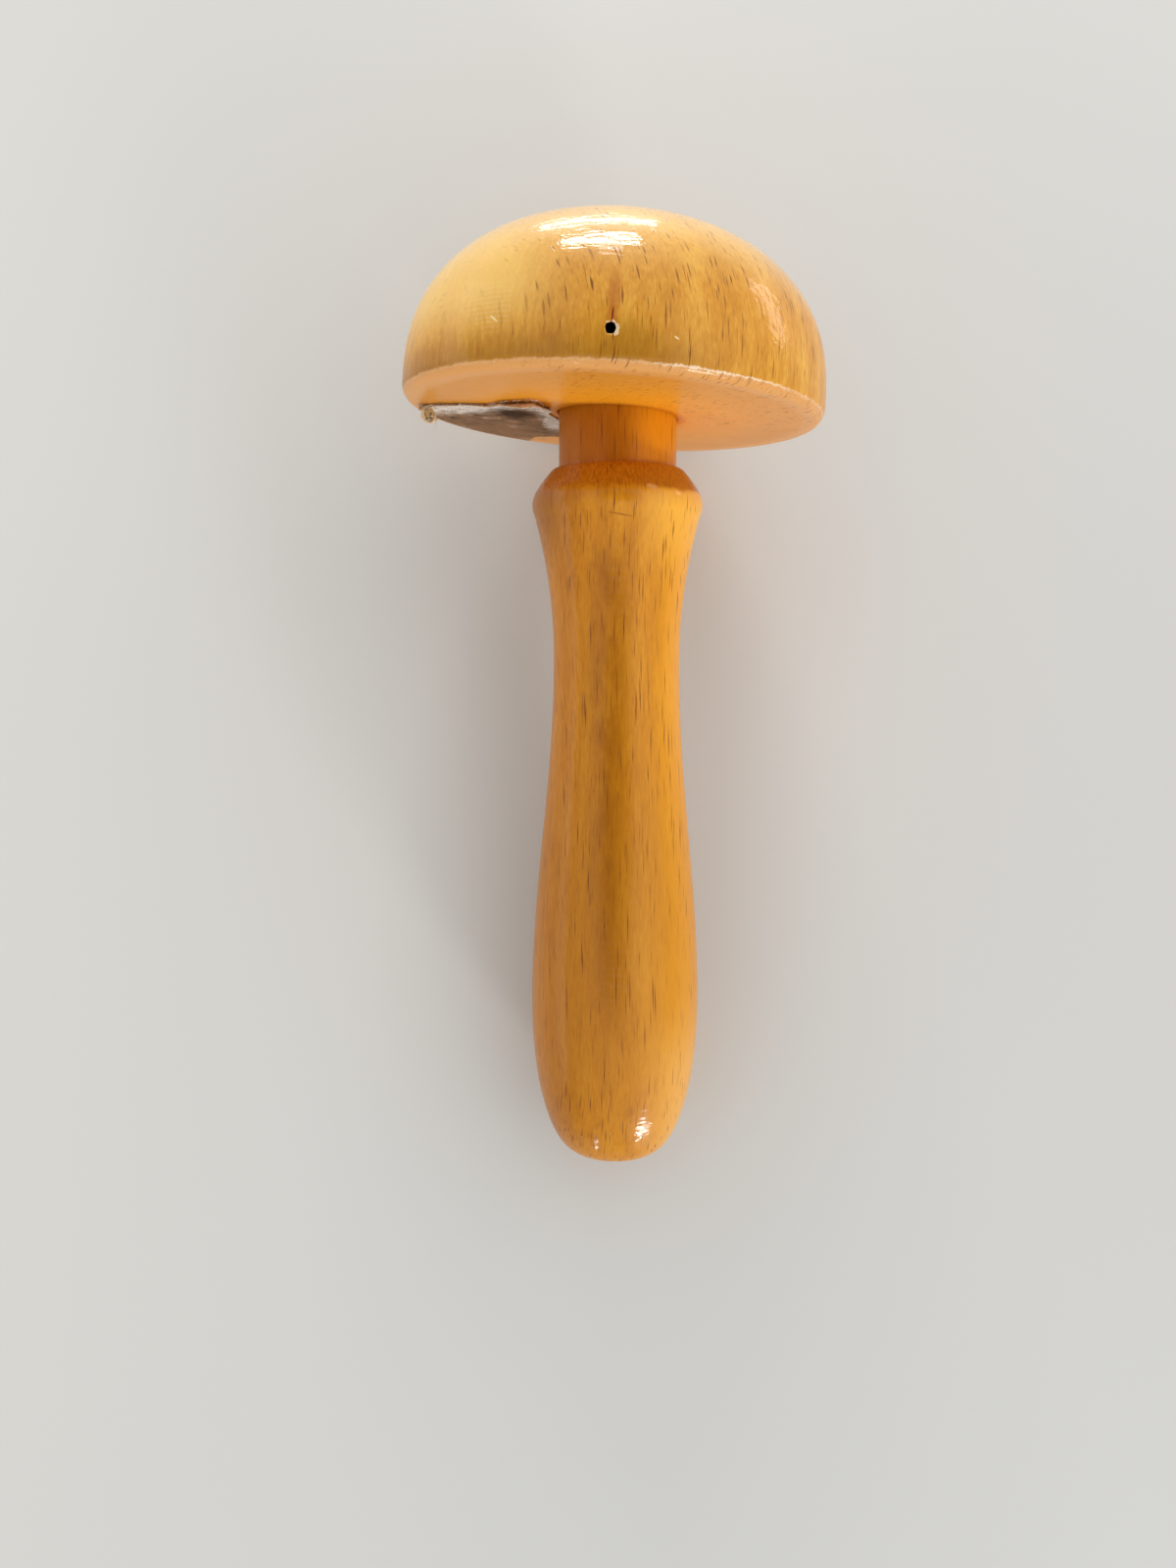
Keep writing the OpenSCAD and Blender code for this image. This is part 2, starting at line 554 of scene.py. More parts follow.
    def ray_dashes(self, tree: Tree, grain: Socket, gap_mm: tuple[float, ...]) -> tuple[Socket, Socket]:
        """Adds the rays as long thin spindles, each near the middle of a cell stretched along the grain.

        Args:
            tree: The material's node tree.
            grain: The grain's coordinates in millimetres.
            gap_mm: The cell's size across, through and along the grain.

        Returns:
            How much of a ray there is, from 0 to 1, and how much of the darker wood beside it.
        """
        cell = add(tree, "Mapping", {"Vector": grain, "Scale": tuple(1 / gap for gap in gap_mm)})
        look = {"Vector": cell, "Scale": 1.0, "Randomness": 1.0}
        off_middle = add(tree, "TexVoronoi", look, "Distance", distance="MANHATTAN")
        draw = add(tree, "TexVoronoi", look, "Color", distance="MANHATTAN")
        size, strength = (add(tree, "SeparateColor", {"Color": draw}, part) for part in ("Red", "Green"))
        here = Fade(off_middle, 0.32, 0.42, 1.0, 0.0, size, 0.2)
        halo = Fade(off_middle, 0.34, 0.7, 1.0, 0.0, size, 0.2)
        return zone(tree, here, Fade(strength, 0.0, 1.0, 0.4, 1.0, straight=True)), halo.build(tree)

    @staticmethod
    def mark(
        tree: Tree,
        place: Socket,
        middle: Triple,
        half_mm: Triple,
        turn: float,
        frays: float,
    ) -> Socket:
        """Adds a small mark: a ball that is stretched, turned about the y axis and frayed by a fine noise.

        Args:
            tree: The material's node tree.
            place: The piece's coordinates in millimetres.
            middle: The mark's middle on the surface.
            half_mm: Half its size along its own x, y and z.
            turn: Degrees that it is turned clockwise as the viewer sees it.
            frays: How far the noise eats into its edge, against its half size.

        Returns:
            How much of the mark there is, from 0 to 1.
        """
        local = {"Vector": place, "Location": middle, "Rotation": (0, math.radians(turn), 0)}
        local = add(tree, "Mapping", local | {"Scale": half_mm}, vector_type="TEXTURE")
        off = distance(tree, local, scale=(1, 1, 1))
        crumbs = clouds(tree, place, (0.4, 0.4, 0.4), 3.0, 0.7)
        return Fade(off, 0.7 + frays / 2, 1.0 + frays / 2, 1.0, 0.0, crumbs, frays).build(tree)

    def growth_rings(self, tree: Tree, grain: Socket) -> Socket:
        """Adds growth rings: the distance from the tree's heart in ring widths, each ring darker outwards.

        Args:
            tree: The material's node tree.
            grain: The grain's coordinates in millimetres.

        Returns:
            The darkness within a ring, from 0 to 1.
        """
        off_pith = distance(tree, grain, (0, -self.pith_mm, 0), (1, 1, self.ring_taper))
        count = add(tree, "Math", {0: off_pith, 1: self.ring_mm}, operation="DIVIDE")
        share = add(tree, "Math", {0: count}, operation="FRACT")
        return zone(tree, Fade(share, 0.2, 0.9), Fade(share, 1.0, 0.9))

    def finish(self, tree: Tree, parts: dict[str, Any], colour: Socket, coat: Socket) -> None:
        """Adds the rays to a colour, and a coat with its waves, the lathe's marks and the pores' relief.

        Args:
            tree: The material's node tree.
            parts: What build returned.
            colour: The wood's colour with the piece's own marks.
            coat: How much of the clear coat is left, from 0 to 1.
        """
        place, dashes = parts["place"], parts["dashes"]
        colour = stain(tree, colour, self.dash, parts["small"], 0.42)
        colour = stain(tree, colour, self.dash, dashes, 0.95)
        profile = add(tree, "CombineXYZ", {"X": distance(tree, place), "Y": parts["z"]})
        grooves = clouds(tree, profile, (0.55, 0.55, 0.55), 3.0, 0.6)
        peel = clouds(tree, place, (2.0, 2.0, 2.0), 3.0, 0.55)
        rubs_and_painted_highlight = clouds(tree, place, (5.0, 0.9, 0.9), 2.0)
        coated = {
            "Base Color": colour,
            "Roughness": Fade(parts["mottle"], 0.0, 1.0, 0.3, 0.5, straight=True).build(tree),
            "IOR": 1.5,
            "Specular IOR Level": 0.1,
            "Normal": relief(tree, (parts["fibres"], 0.02), (dashes, -0.03)),
            "Coat Weight": coat,
            "Coat Roughness": 0.055,
            "Coat IOR": 1.5,
            "Coat Normal": relief(tree, (peel, 0.055), (grooves, 0.016), (dashes, -0.012), (rubs_and_painted_highlight, 0.08)),
        }
        add(tree, "OutputMaterial", {"Surface": add(tree, "BsdfPrincipled", coated)})


@dataclass(frozen=True)
class TornPaper:
    """What is left of a glued paper label: wood-pulp paper, torn off by hand and soiled by handling.

    To the eye it is matt and fibrous, white where it is freshly torn, and brown-grey with dark smudges
    elsewhere. The UV map gives the distance from the torn edge in centimetres as u, and the place along that
    edge as v.

    Attributes:
        name: The material's name.
        core: The white inside of the paper.
        soiled: The usual colour of its outside.
        smudge_and_fold_shade: The darkest dirt, also painted as shade in the fold.
        glue: The tan of old glue.
    """

    name: str = "torn_soiled_paper"
    core: str = "#F4ECE2"
    soiled: str = "#86694E"
    smudge_and_fold_shade: str = "#452C18"
    glue: str = "#A47C5A"

    def build(self) -> Material:
        """Builds the paper: dirt, white pulp along the tear, painted shade in the fold and old glue far in.
        """
        material, tree = new_material(self.name)
        place = HEAD_FRAME.coordinates(tree)
        depth = add(tree, "SeparateXYZ", {"Vector": add(tree, "UVMap", uv_map=SHEET_MAP)}, "X")
        blotch = clouds(tree, place, (4.5, 4.5, 4.5), 5.0, 0.65)
        felt = clouds(tree, place, (0.35, 0.35, 0.35), 4.0, 0.7)
        scuffs = clouds(tree, place, (2.5, 0.5, 2.0), 4.0, 0.6)
        tone = add(tree, "Math", {0: felt, 1: 0.35, 2: blotch}, operation="MULTIPLY_ADD")
        tone = add(tree, "Math", {0: tone, 1: 0.17}, operation="SUBTRACT")
        stops = [(0.3, self.smudge_and_fold_shade), (0.44, self.soiled), (0.6, self.glue), (0.75, self.core)]
        dirt = add(tree, "ValToRGB", {"Fac": tone}, stops=stops)
        tear = add(tree, "Math", {0: scuffs, 1: -1.1, 2: depth}, operation="MULTIPLY_ADD")
        # Painted shade in the hollow of a crease.
        fold = distance(tree, place, (-18.2, 2.0, 0), (1 / 5.2, 1 / 5.4, 0))
        fibrous = Fade(felt, 0.65, 1.0, 0.0, 1.0, scuffs, 0.8, straight=True)
        pulp = stain(tree, self.soiled, self.core, fibrous)
        colour = stain(tree, dirt, pulp, Fade(tear, -0.5, 0.2, 1.0, 0.0, blotch, -0.9))
        colour = stain(tree, colour, self.smudge_and_fold_shade, Fade(fold, 0.8, 1.6, 0.95, 0.0, scuffs, 0.9))
        colour = stain(tree, colour, self.glue, Fade(depth, 2.2, 3.4, 0.0, 0.55, blotch, 1.2))
        matt = {
            "Base Color": colour,
            "Roughness": 0.92,
            "Specular IOR Level": 0.25,
            "IOR": 1.45,
            "Normal": relief(tree, (felt, 1.0), (scuffs, 0.6), strength=0.8, unit_mm=0.15),
        }
        add(tree, "OutputMaterial", {"Surface": add(tree, "BsdfPrincipled", matt)})
        return material


@dataclass
class Handle:
    """The turned handle: end flat, belly, waist, collar, bevel, neck and the tenon inside the head.

    The sizes are those of the same names in part.scad, in millimetres, but for the attributes below.

    Attributes:
        edge_round: Radius of the small round on the shoulder's edge and at the neck's foot.
        out_of_round: How far it strays from the lathe's circle.
        inset: How far its surface lies inside the CAD's.
        columns: How many points run round it.
        frame: Where its lathe axis lies.
    """

    neck_d: float = 21.7
    neck_show: float = 9.8
    shoulder_d: float = 24.2
    bevel_len: float = 4.3
    bevel_swell: float = 0.2
    collar_edge_d: float = 30.6
    collar_swell: float = 0.5
    collar_len: float = 4.2
    sweep_len: float = 25.6
    waist_d: float = 23.7
    swell_len: float = 67.2
    belly_d: float = 32.2
    tail_len: float = 28.8
    end_flat_d: float = 15.0
    socket_depth: float = 17.0
    floor_space: float = 0.3
    tenon_chamfer: float = 0.8
    edge_round: float = 0.18
    out_of_round: float = 0.03
    inset: float = 0.035
    columns: int = 320
    frame: LatheFrame = HANDLE_FRAME

    @property
    def waist_z(self) -> float:
        """Height of the waist above the end flat."""
        return self.tail_len + self.swell_len

    @property
    def collar_z(self) -> float:
        """Height of the collar's lower edge above the end flat."""
        return self.waist_z + self.sweep_len

    @property
    def bevel_z(self) -> float:
        """Height of the bevel's lower edge above the end flat."""
        return self.collar_z + self.collar_len

    @property
    def shoulder_z(self) -> float:
        """Height of the shoulder above the end flat."""
        return self.bevel_z + self.bevel_len

    @property
    def underside_z(self) -> float:
        """Height of the head's underside above the end flat."""
        return self.shoulder_z + self.neck_show

    def outline(self) -> np.ndarray:
        """Works out the outline from the end's middle to the tenon's middle.

        The tail is a quarter ellipse, the swell half a cosine wave, the sweep a parabola, and the collar and
        the bevel are straight lines with a bow. The shoulder and the neck's foot have their edges cut by a
        small round.

        Returns:
            Radius and height in millimetres, one point to a line.
        """
        end_r, belly_r, waist_r = self.end_flat_d / 2, self.belly_d / 2, self.waist_d / 2
        edge_r, shoulder_r, neck_r = self.collar_edge_d / 2, self.shoulder_d / 2, self.neck_d / 2
        foot, edge, cut = 2 * self.inset, self.edge_round, self.tenon_chamfer
        tenon_end = self.underside_z + self.socket_depth - self.floor_space
        start = self.shoulder_z + edge
        arc, corner = shares(40) * math.pi / 2, shares(4) * math.pi / 2
        swell, sweep, bead, slant = shares(44), shares(26), shares(12), shares(12)[:-1]
        tail_h = foot + (self.tail_len - foot) * (1 - np.cos(arc))
        swell_r = waist_r + (belly_r - waist_r) * (1 + np.cos(math.pi * swell)) / 2
        slant_r = edge_r + (shoulder_r - edge_r) * slant + self.bevel_swell * bow(slant)
        return np.concatenate(
            [
                join(end_r * shares(6), foot),
                join(end_r + (belly_r - end_r) * np.sin(arc), tail_h),
                join(swell_r, self.tail_len + self.swell_len * swell),
                join(waist_r + (edge_r - waist_r) * sweep**2, self.waist_z + self.sweep_len * sweep),
                join(edge_r + self.collar_swell * bow(bead), self.collar_z + self.collar_len * bead),
                join(slant_r, self.bevel_z + self.bevel_len * slant),
                join(shoulder_r - edge * (1 - np.cos(corner)), self.shoulder_z - edge * (1 - np.sin(corner))),
                join(neck_r + edge * (1 - np.sin(corner)), self.shoulder_z + edge * (1 - np.cos(corner))),
                join(neck_r, start + (tenon_end - cut - start) * shares(22)),
                join(neck_r - cut * shares(3), tenon_end - cut * (1 - shares(3))),
                join((neck_r - cut) * (1 - shares(5)[:-1]), tenon_end),
            ]
        )

    def build_mesh(self) -> Piece:
        """Carries the outline round the axis, a few hundredths of a millimetre out of round.

        Returns:
            The handle, closed by a pole at each end.
        """
        radius, height = self.outline()[::-1].T
        angle = np.arange(self.columns) * FULL_TURN / self.columns
        hand_turned = self.out_of_round * wobble(angle, 11, 4)[None, :] * np.sin(height * 0.09)[:, None]
        grid = turned((radius - self.inset)[:, None] + np.minimum(hand_turned, 0), height, angle)
        index = numbers(grid)
        points = np.concatenate([grid.reshape(-1, 3), [[0, 0, height[0]], [0, 0, height[-1]]]])
        caps = cap(index.size, index[0]).tolist() + cap(index.size + 1, index[-1], below=True).tolist()
        return build_object("handle_turned", self.frame.to_row(points), ring_faces(index).tolist() + caps)

    def build_material(self) -> Material:
        """Dresses the beech with the handle's own marks, each a colour and the factors of its zone.

        They are painted light on the right side and painted shade on the left, a broken dark streak along the
        top that is partly the wood's dark heartwood streak and partly painted shade where the top reflects
        the dark space overhead, a grip darkened by hands, a painted sheen on the tail's right, painted light
        on the collar's right and painted shade on its left, a short crack on the collar, painted shade cast
        by the head from a ragged line on the collar's upper edge over the bevel and the neck, with painted
        light on the neck's right, and a scuff on the bevel.

        Returns:
            The material.
        """
        wood = VarnishedBeech("varnished_beech_handle", draw_mm=4.0)
        material, tree, parts = wood.build(self.frame)
        place, x, y, z, mottle = (parts[name] for name in ("place", "x", "y", "z", "mottle"))
        off_streak = add(tree, "Math", {0: x, 1: 1.9}, operation="ADD")
        off_streak = add(tree, "Math", {0: off_streak}, operation="ABSOLUTE")
        breaks = Fade(clouds(tree, place, (2.5, 2.5, 7.0), 3.0, 0.6), 0.38, 0.58, 0.6, 1.0, straight=True)
        collar = Fade(z, 108.0, 122.0)
        # Painted shade cast by the head over the bevel and the neck, varied by the fibres.
        bevel_shade = stain(tree, "#C87A14", "#9C5202", Fade(parts["fibres"], 0.3, 0.7, straight=True))
        # Painted shade on the neck's left and painted light on its right.
        neck = stain(tree, "#A86004", "#F49A0C", Fade(x, -1.0, 7.0))
        above = zone(tree, Fade(z, self.shoulder_z, self.shoulder_z + 1.0, straight=True))
        crack = wood.mark(tree, place, (0.2, -15.0, 120.7), (2.7, 2.0, 0.16), 10.0, 0.9)
        scuff = wood.mark(tree, place, (5.8, -14.3, 125.5), (1.3, 2.0, 0.5), 15.0, 1.3)
        marks = {
            # Painted light: the right side is golden where more light falls from the right, and the left is
            # painted shade.
            "right": ("#F2A420", Fade(x, 2.0, 13.0, 0.0, 0.7)),
            "left": ("#A86014", Fade(x, -3.0, -12.0, 0.0, 0.32)),
            # Partly the wood's heartwood streak and partly painted shade where the top reflects the dark
            # space overhead.
            "heart streak and painted top shade": (
                "#965400",
                Fade(off_streak, 1.6, 7.4, 0.78, 0.0, mottle, 3.0),
                Fade(y, -2.0, -8.0),
                Fade(z, 16.0, 44.0),
                Fade(z, 119.0, 110.0),
                breaks,
            ),
            "grip": ("#A86A10", Fade(z, 88.0, 50.0, 0.0, 0.3)),
            # Painted sheen on the tail's right, round its glint.
            "painted tail sheen": ("#F4BE6C", Fade(x, 3.0, 12.0, 0.0, 0.36), Fade(z, 34.0, 16.0)),
            # Painted light on the collar's right and painted shade on its left.
            "painted light on collar": ("#FFBE48", Fade(x, 1.0, 9.0, 0.0, 0.55), collar),
            "painted shade on collar": ("#7C4404", Fade(x, -7.0, -13.0, 0.0, 0.5), collar),
            "crack": ("#8A4C08", crack, 0.6),
            # Painted shade cast by the head, from a ragged line on the collar's upper edge over the bevel.
            "bevel": (bevel_shade, Fade(z, self.bevel_z + 0.6, self.bevel_z + 1.7, 0.0, 0.85, mottle, 2.6)),
            # The neck: painted shade on the left and painted light on the right.
            "neck": (neck, above, 0.7),
            "scuff": ("#E0A868", scuff, 0.7),
        }
        colour = parts["colour"]
        for tint, *factors in marks.values():
            colour = stain(tree, colour, tint, *factors)
        wood.finish(tree, parts, colour, Fade(above, 0.0, 1.0, 0.4, 0.12, straight=True).build(tree))
        return material

    def build(self) -> None:
        """Builds the handle, which stands for the CAD node of that name."""
        piece = self.build_mesh()
        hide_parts("handle")
        dress(piece, self.build_material(), Body.HANDLE)


@dataclass
class Head:
    """The turned head: a dome with a rounded rim, a flat underside, a leaning round socket and a worm hole.

    The sizes are those of the same names in part.scad, in millimetres, but for the attributes below.

    Attributes:
        socket_d: Diameter of the socket.
        hole_d: Diameter of the worm hole.
        hole_depth: Depth of the worm hole.
        hole_x: Place of the worm hole to the right of the middle.
        hole_h: Height of the worm hole above the underside.
        worn_mouth: How much wider the socket's mouth is worn on the left.
        window_mm: Half the width of the opening in the grid that the worm hole's well fills.
        skin_shares: Where the well's rings lie between the hole's edge and the window's.
        shaft_depths: Depths of the hole's rings above its bottom.
        inset: How far its surface lies inside the CAD's.
        columns: How many points run round it.
        frame: Where its lathe axis lies.
    """

    head_d: float = 76.8
    head_h: float = 32.9
    wide_h: float = 2.2
    rim_round: float = 2.0
    rim_flare: float = 32.0
    dome_power: float = 2.38
    socket_d: float = 21.86
    socket_depth: float = 17.0
    hole_d: float = 1.9
    hole_depth: float = 6.0
    hole_x: float = -1.4
    hole_h: float = 6.0
    worn_mouth: float = 0.34
    window_mm: float = 2.3
    skin_shares: tuple[float, ...] = (0, 0.05, 0.12, 0.22, 0.35, 0.5, 0.66, 0.83)
    shaft_depths: tuple[float, ...] = (4.2, 2.4, 1.2, 0.5, 0.12)
    inset: float = 0.02
    columns: int = 384
    frame: LatheFrame = HEAD_FRAME

    @property
    def arc_end(self) -> float:
        """The angle at which the rim's rounding ends and the side begins, in radians."""
        return math.radians(90 - self.rim_flare)

    @property
    def side_h(self) -> float:
        """Height at which the side begins."""
        return self.rim_round * (1 - math.cos(self.arc_end))

    @property
    def side_r(self) -> float:
        """Radius at which the side begins."""
        return self.head_d / 2 - math.tan(math.radians(self.rim_flare)) * (self.wide_h - self.side_h) / 2

    @property
    def flat_r(self) -> float:
        """Radius at which the flat underside ends."""
        return self.side_r - self.rim_round * math.sin(self.arc_end)

    def dome_radius(self, height: np.ndarray) -> np.ndarray:
        """The dome's radius at a height: a superellipse between the widest level and the crown."""
        share = np.clip((height - self.wide_h) / (self.head_h - self.wide_h), 0, 1)
        return (self.head_d / 2 - self.inset) * (1 - share**self.dome_power) ** (1 / self.dome_power)

    def outline(self) -> np.ndarray:
        """Works out the outline from the crown down to the edge of the flat underside.

        The dome is a superellipse, the side a parabola that leans outwards, and the rim a part of a circle.

        Returns:
            Radius and height in millimetres, one point to a line, without the crown itself.
        """
        turn, down, arc = (1 - shares(84)) * math.pi / 2, shares(6), self.arc_end * (1 - shares(8))
        power, widest = 2 / self.dome_power, self.head_d / 2
        dome_h = self.wide_h + (self.head_h - self.inset - self.wide_h) * np.sin(turn) ** power
        side_r = self.side_r - self.inset + (widest - self.side_r) * (1 - down**2)
        rim_r = self.flat_r - self.inset + self.rim_round * np.sin(arc)
        return np.concatenate(
            [
                join((widest - self.inset) * np.cos(turn) ** power, dome_h),
                join(side_r, self.side_h + (self.wide_h - self.side_h) * (1 - down)),
                join(rim_r, self.rim_round * (1 - np.cos(arc))),
            ]
        )

    def socket_rings(self, angle: np.ndarray) -> np.ndarray:
        """Works out the rings of the underside, the worn mouth, the socket's wall and its floor.

        The underside runs straight from the flat's edge to the mouth. The wall is a cylinder on the handle's
        axis, which is cut by the underside, and the mouth is worn wider on the left, where the head has
        rocked.

        Args:
            angle: The columns' angles in radians.

        Returns:
            Points in the head's frame, one row for each ring.
        """
        lean = math.radians(self.frame.lean)
        axis = np.array([-math.sin(lean), 0, math.cos(lean)])
        right = np.array([math.cos(lean), 0, math.sin(lean)])
        away = np.array([0, 1, 0])
        floor = np.array([0, 0, self.socket_depth])

        def ring(radius: np.ndarray, up_share: float) -> np.ndarray:
            """A ring of the socket at a share of the way from the mouth to the floor."""
            offset = radius[:, None] * (np.cos(angle)[:, None] * right + np.sin(angle)[:, None] * away)
            reach = -(self.socket_depth + offset[:, 2]) / axis[2]
            return floor + offset + (reach * (1 - up_share))[:, None] * axis

        bore = np.full(angle.shape, self.socket_d / 2)
        nibbled = 0.04 * np.maximum(wobble(angle, 5, 12), 0)
        worn = 0.06 + self.worn_mouth * ((1 - np.cos(angle)) / 2) ** 2 + nibbled
        mouth = ring(bore + worn, 0.0)
        edge = (self.flat_r - self.inset) * join(np.cos(angle), np.sin(angle), 0)
        under = edge + (mouth - edge) * shares(12)[:, None, None]
        throat = np.stack([ring(bore + worn * 0.55, 0.02), ring(bore + worn * 0.12, 0.07), ring(bore, 0.12)])
        wall = np.stack([ring(bore, share) for share in np.linspace(0.2, 1.0, 8)])
        base = wall[-1] + (floor - wall[-1]) * shares(5)[:-1, None, None]
        return np.concatenate([under, throat, wall, base])

    def well(self, window: np.ndarray) -> tuple[np.ndarray, np.ndarray]:
        """Works out the worm hole and the skin of dome that joins it to a window in the head's grid.

        Between the hole's edge and the window's, a point is that share of the way between the two in x and z,
        and its y is the dome's. The edge is chipped, so it dips a little, and it is a pear that is taller
        than wide.

        Args:
            window: The window's edge in x, y and z, running round anticlockwise as the viewer sees it.

        Returns:
            The rings from the hole's bottom outwards, without the window's own, and the bottom's middle.
        """
        middle = np.array([self.hole_x, self.hole_h])
        flat = window[:, [0, 2]] - middle
        angle = np.arctan2(flat[:, 1], flat[:, 0])
        pear = 0.84 - 0.18 * np.sin(angle) - 0.07 * np.cos(angle)
        radius = self.hole_d / 2 * (pear + 0.1 * wobble(angle, 3, 7))
        circle = radius[:, None] * join(np.cos(angle), 1.22 * np.sin(angle))
        share = np.array(self.skin_shares)[:, None, None]
        across, up = np.moveaxis(middle + circle + (flat - circle) * share, -1, 0)
        chip = np.maximum(wobble(angle, 8, 7) + 0.4 * np.cos(angle), -0.2) * 0.12 + 0.06
        dip = chip[None, :] * np.exp(-share[..., 0] * 9)
        skin_y = -np.sqrt(self.dome_radius(up) ** 2 - across**2) + dip
        shaft_y = skin_y[0] + np.array([self.hole_depth, *self.shaft_depths])[:, None]
        shaft = join(across[0], shaft_y, up[0])
        bottom = np.array([middle[0], float(shaft_y[0].mean()), middle[1]])
        return np.concatenate([shaft, join(across, skin_y, up)]), bottom

    def build_mesh(self) -> Piece:
        """Joins the dome, the rim, the underside, the socket and the worm hole into one closed surface.

        A window of the grid in front is left open, and the rings of the worm hole's well are joined to its
        edge.

        Returns:
            The head.
        """
        angle = np.arange(self.columns) * FULL_TURN / self.columns
        radius, height = self.outline().T
        grid = np.concatenate([turned(radius[:, None], height, angle), self.socket_rings(angle)])
        index = numbers(grid)
        level = np.flatnonzero(np.abs(height - self.hole_h) < self.window_mm)
        top, low = int(level[0]), int(level[-1])
        front = angle - FULL_TURN * 0.75
        sideways = radius[low] * np.sin(front)
        near = np.flatnonzero((np.abs(sideways - self.hole_x) < self.window_mm) & (np.abs(front) < 1))
        left, right = int(near[0]), int(near[-1])
        keep = np.ones((len(grid) - 1, self.columns), bool)
        keep[top:low, left:right] = False
        quads = ring_faces(index).reshape(*keep.shape, 4)[keep]
        edge = np.concatenate(
            [
                index[low, left:right],
                index[top + 1 : low + 1, right][::-1],
                index[top, left + 1 : right + 1][::-1],
                index[top:low, left],
            ]
        )
        rings, bottom = self.well(grid.reshape(-1, 3)[edge])
        well_index = np.concatenate([numbers(rings, index.size), edge[None]])
        poles = index.size + rings[..., 0].size
        ends = [[0, 0, self.head_h - self.inset], [0, 0, self.socket_depth], bottom]
        points = np.concatenate([grid.reshape(-1, 3), rings.reshape(-1, 3), ends])
        caps = [cap(poles, index[0]), cap(poles + 1, index[-1], below=True), cap(poles + 2, well_index[0])]
        faces = np.concatenate([quads, ring_faces(well_index)]).tolist() + np.concatenate(caps).tolist()
        return build_object("head_turned", self.frame.to_row(points), faces)

    def build_material(self) -> Material:
        """Dresses the beech with the head's own marks, each a colour and the factors of its zone.

        They are a ragged dark band above the rim that is partly dark stain and partly painted shade, an olive
        patch of painted shade low on the front, a rust streak by the worm hole, a crown paler partly for its
        end grain and partly by painted light on its upper side, painted light on the left side, pale arcs of
        the lathe on the left, a nick and a speck, a rim and an underside with paler and duller varnish that
        is worn along its edge and carries a painted reflection of the neck, golden near it, a painted
        highlight along the rim's right, and round the worm hole its chipped varnish with a painted highlight
        on the upper right, the split above it and painted shade inside.

        Returns:
            The material.
        """
        wood = VarnishedBeech(
            "varnished_beech_head",
            pale="#EFB64A",
            honey="#D8942A",
            deep="#B47012",
            ray_turn=38.0,
            dash_gap_mm=(0.42, 3.2, 8.5),
            fibre_mm=(0.4, 0.7, 1.8),
            draw_mm=21.0,
        )
        material, tree, parts = wood.build(self.frame)
        place, x, y, z = (parts[name] for name in ("place", "x", "y", "z"))
        near = Fade(y, -4.0, -14.0)
        ragged = clouds(tree, place, (0.9, 0.9, 3.0), 3.0, 0.6)

        # Painted shade: an olive patch low on the dome's front, where it is lit less.
        olive = distance(tree, place, (1.2, 0, 4.5), (1 / 6, 0, 1 / 5))
        rust = add(tree, "Math", {0: z, 1: -0.02, 2: x}, operation="MULTIPLY_ADD")
        rust = add(tree, "Math", {0: rust, 1: -self.hole_x}, operation="ADD")
        rust = add(tree, "Math", {0: rust}, operation="ABSOLUTE")
        # The crown is paler partly for its end grain and partly by painted light on its upper side; west is
        # painted light on the left side.
        crown = zone(tree, Fade(z, 12.0, 28.0, 0.0, 0.5))
        west = zone(tree, Fade(x, -4.0, -22.0), Fade(z, 3.0, 14.0, 0.0, 0.7))
        crown = add(tree, "Math", {0: crown, 1: west}, operation="MAXIMUM")
        arcs = add(tree, "Math", {0: z, 1: 8.0}, operation="MULTIPLY")
        arcs = add(tree, "Math", {0: ragged, 1: 5.0, 2: arcs}, operation="MULTIPLY_ADD")
        arcs = Fade(add(tree, "Math", {0: arcs}, operation="SINE"), -0.4, 1.0, 0.0, 0.18, straight=True)
        patch = wood.mark(tree, place, (-21.0, -32.0, 9.8), (5.2, 8.0, 4.2), 25.0, 2.2)
        nick = wood.mark(tree, place, (-19.7, -32.7, 7.5), (0.95, 1.5, 0.17), 40.0, 0.5)
        speck = wood.mark(tree, place, (8.7, -37.2, 5.2), (0.5, 1.5, 0.16), 30.0, 0.6)
        nick = add(tree, "Math", {0: nick, 1: speck}, operation="MAXIMUM")

        reach = distance(tree, place)
        under = stain(tree, "#E29E46", "#D4872C", parts["fibres"])
        # A painted reflection of the neck in the glossy underside, golden near it.
        under = stain(tree, under, "#FFA616", Fade(reach, 33.0, 13.0, 0.0, 0.8))
        under = stain(tree, under, "#E0A466", Fade(reach, 34.6, 36.8, 0.0, 0.75, parts["mottle"], 2.2))
        nibbled = clouds(tree, place, (0.9, 0.9, 0.9), 5.0, 0.7)
        # A painted highlight along the rim's edge, frayed by a noise.
        rubs_and_painted_highlight = add(tree, "Math", {0: nibbled, 1: 1.6, 2: -1.95}, operation="MULTIPLY_ADD")
        rubs_and_painted_highlight = add(tree, "Math", {0: z, 1: rubs_and_painted_highlight}, operation="ADD")
        rubs_and_painted_highlight = add(tree, "Math", {0: rubs_and_painted_highlight}, operation="ABSOLUTE")

        hole = {"Vector": place, "Location": (-self.hole_x, 0, -self.hole_h), "Scale": (1, 0, 1)}
        hole = add(tree, "Mapping", hole)
        off_hole = distance(tree, hole, scale=(1, 1, 1))
        skew = add(tree, "VectorMath", {0: hole, 1: (-0.14, 0.0, 0.16)}, "Value", operation="DOT_PRODUCT")
        flakes = clouds(tree, place, (0.55, 0.55, 0.55), 3.0)
        chipped = add(tree, "Math", {0: flakes, 1: 1.8, 2: off_hole}, operation="MULTIPLY_ADD")
        chipped = add(tree, "Math", {0: chipped, 1: skew}, operation="ADD")
